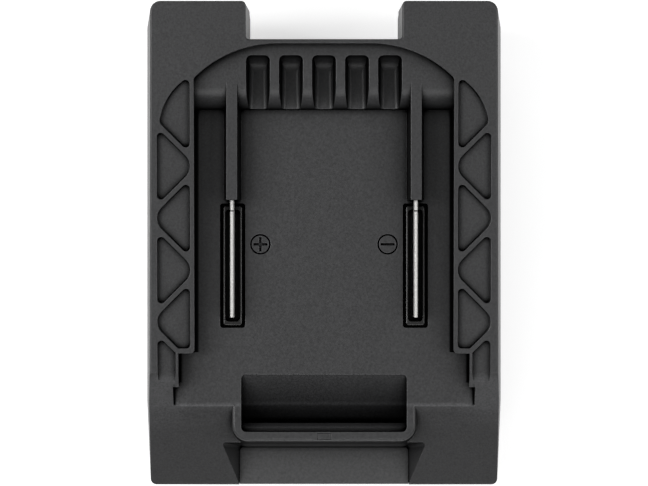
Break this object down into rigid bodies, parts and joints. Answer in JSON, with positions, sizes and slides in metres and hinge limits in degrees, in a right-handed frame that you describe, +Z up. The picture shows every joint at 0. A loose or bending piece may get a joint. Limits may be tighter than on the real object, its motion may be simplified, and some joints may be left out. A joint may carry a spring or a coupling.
{
  "type": "tool battery adapter",
  "caption": "Charcoal two-shell adapter with a battery slide and blade terminals on one side, and a slide foot with a sprung latch on the other.",
  "frame": {"origin": "middle of the footprint, on the plane that the tool-side foot rests on", "axes": "+X across, +Y towards the closed end with the notch, +Z up to the battery side"},
  "size_m": [0.079, 0.1064, 0.0474],
  "materials": {
    "upper_shell_plastic": "fine mould texture, charcoal",
    "lower_shell_plastic": "fine mould texture, charcoal",
    "insert_plastic": "glossy black",
    "blade_metal": "nickel-plated, sheared edge",
    "strap_metal": "tinned copper strip",
    "clip_metal": "plated spring bronze",
    "block_plastic": "semi-gloss black",
    "retainer_plastic": "plain moulded",
    "spring_steel": "drawn wire",
    "screw_steel": "black zinc",
    "slide_plastic": "smooth moulded",
    "button_plastic": "coarse mould texture, charcoal"
  },
  "bodies": {
    "housing": {"upper_shell": "upper_shell_plastic", "lower_shell": "lower_shell_plastic", "blade_insert_positive": "insert_plastic", "blade_insert_negative": "insert_plastic", "blade_positive": "blade_metal", "blade_negative": "blade_metal", "bus_bar_positive": "strap_metal", "bus_bar_negative": "strap_metal", "tool_clip_positive": "clip_metal", "tool_clip_negative": "clip_metal", "terminal_block": "block_plastic", "contact_retainer": "retainer_plastic", "latch_spring_left": "spring_steel", "latch_spring_right": "spring_steel", "housing_screws": "screw_steel", "blade_screws": "screw_steel", "clip_screws": "screw_steel", "insert_screws": "screw_steel", "retainer_screws": "screw_steel"},
    "latch": {"latch_slide": "slide_plastic", "thumb_button": "button_plastic", "latch_screws": "screw_steel"}
  },
  "joints": [
    {"name": "latch_release", "type": "slide", "parent": "housing", "child": "latch", "axis": [0, 0, 1], "range_m": [0, 0.006], "stiffness_N_per_m": 800, "springref_m": -0.004, "deforming": ["latch_spring_left", "latch_spring_right"]}
  ]
}
